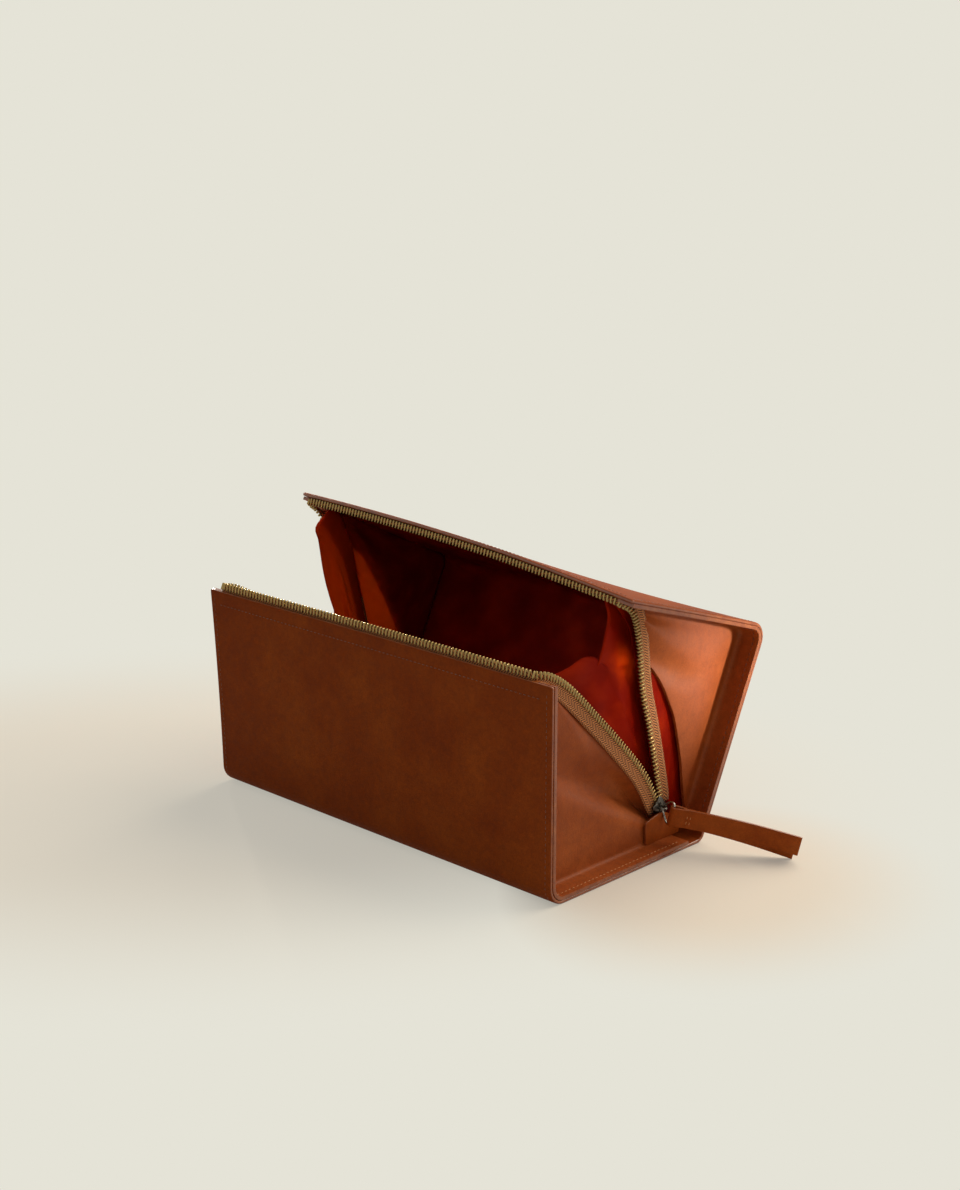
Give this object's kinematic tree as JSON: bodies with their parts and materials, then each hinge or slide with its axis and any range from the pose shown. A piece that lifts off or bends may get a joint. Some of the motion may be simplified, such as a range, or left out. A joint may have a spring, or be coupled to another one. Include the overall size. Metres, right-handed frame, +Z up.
{
  "type": "leather toiletry case",
  "caption": "Boxy leather toiletry case that opens like a clamshell, with set-in end gussets, a satin lining, a metal zip round the mouth and a strap on its slider.",
  "frame": {"origin": "centre of the base's underside, as the case stands open on its base", "axes": "+X along the case towards the end that holds the slider, +Y from the front panel to the back, +Z up"},
  "size_m": [0.3274, 0.1799, 0.1638],
  "materials": {
    "case_leather": "smooth tan, fine grain",
    "gusset_leather": "smooth tan, fine grain",
    "trim_leather": "smooth tan",
    "satin_lining": "red-orange satin",
    "stiffening_board": "pressed fibre board",
    "zip_tape": "woven herringbone",
    "zip_brass": "antique",
    "slider_metal": "dark gunmetal",
    "link_wire": "drawn wire"
  },
  "bodies": {
    "case_front": {"front_base_wrap": "case_leather", "spine_strip": "case_leather", "front_board": "stiffening_board", "base_board": "stiffening_board", "front_base_lining": "satin_lining", "front_zip_tape": "zip_tape", "front_zip_teeth": "zip_brass", "right_front_gusset": "gusset_leather", "right_front_gusset_lining": "satin_lining", "right_zip_tab": "trim_leather", "right_zip_stop": "zip_brass", "left_front_gusset": "gusset_leather", "left_front_gusset_lining": "satin_lining", "left_zip_tab": "trim_leather", "left_zip_stop": "zip_brass"},
    "case_lid": {"back_lid_wrap": "case_leather", "back_board": "stiffening_board", "lid_board": "stiffening_board", "back_lid_lining": "satin_lining", "lid_zip_tape": "zip_tape", "lid_zip_teeth": "zip_brass", "right_back_gusset": "gusset_leather", "right_back_gusset_lining": "satin_lining", "left_back_gusset": "gusset_leather", "left_back_gusset_lining": "satin_lining"},
    "slider": {"zip_slider": "slider_metal"},
    "link": {"pull_link": "link_wire"},
    "strap": {"pull_strap": "trim_leather"}
  },
  "joints": [
    {"name": "lid_hinge", "type": "hinge", "parent": "case_front", "child": "case_lid", "pos_m": [0, 0.0595, 0.006], "axis": [1, 0, 0], "range_deg": [-12, 22.7]},
    {"name": "slider_travel", "type": "slide", "parent": "case_front", "child": "slider", "axis": [0, -0.7086, 0.7056], "range_m": [0, 0.115]},
    {"name": "link_swing", "type": "hinge", "parent": "slider", "child": "link", "pos_m": [0.1226, 0.04249, 0.02293], "axis": [0.2569, -0.0315, 0.9659], "range_deg": [-24, 15]},
    {"name": "strap_swing", "type": "hinge", "parent": "link", "child": "strap", "pos_m": [0.13027, 0.04155, 0.02086], "axis": [0.2569, -0.0315, 0.9659], "range_deg": [-30, 15]}
  ]
}
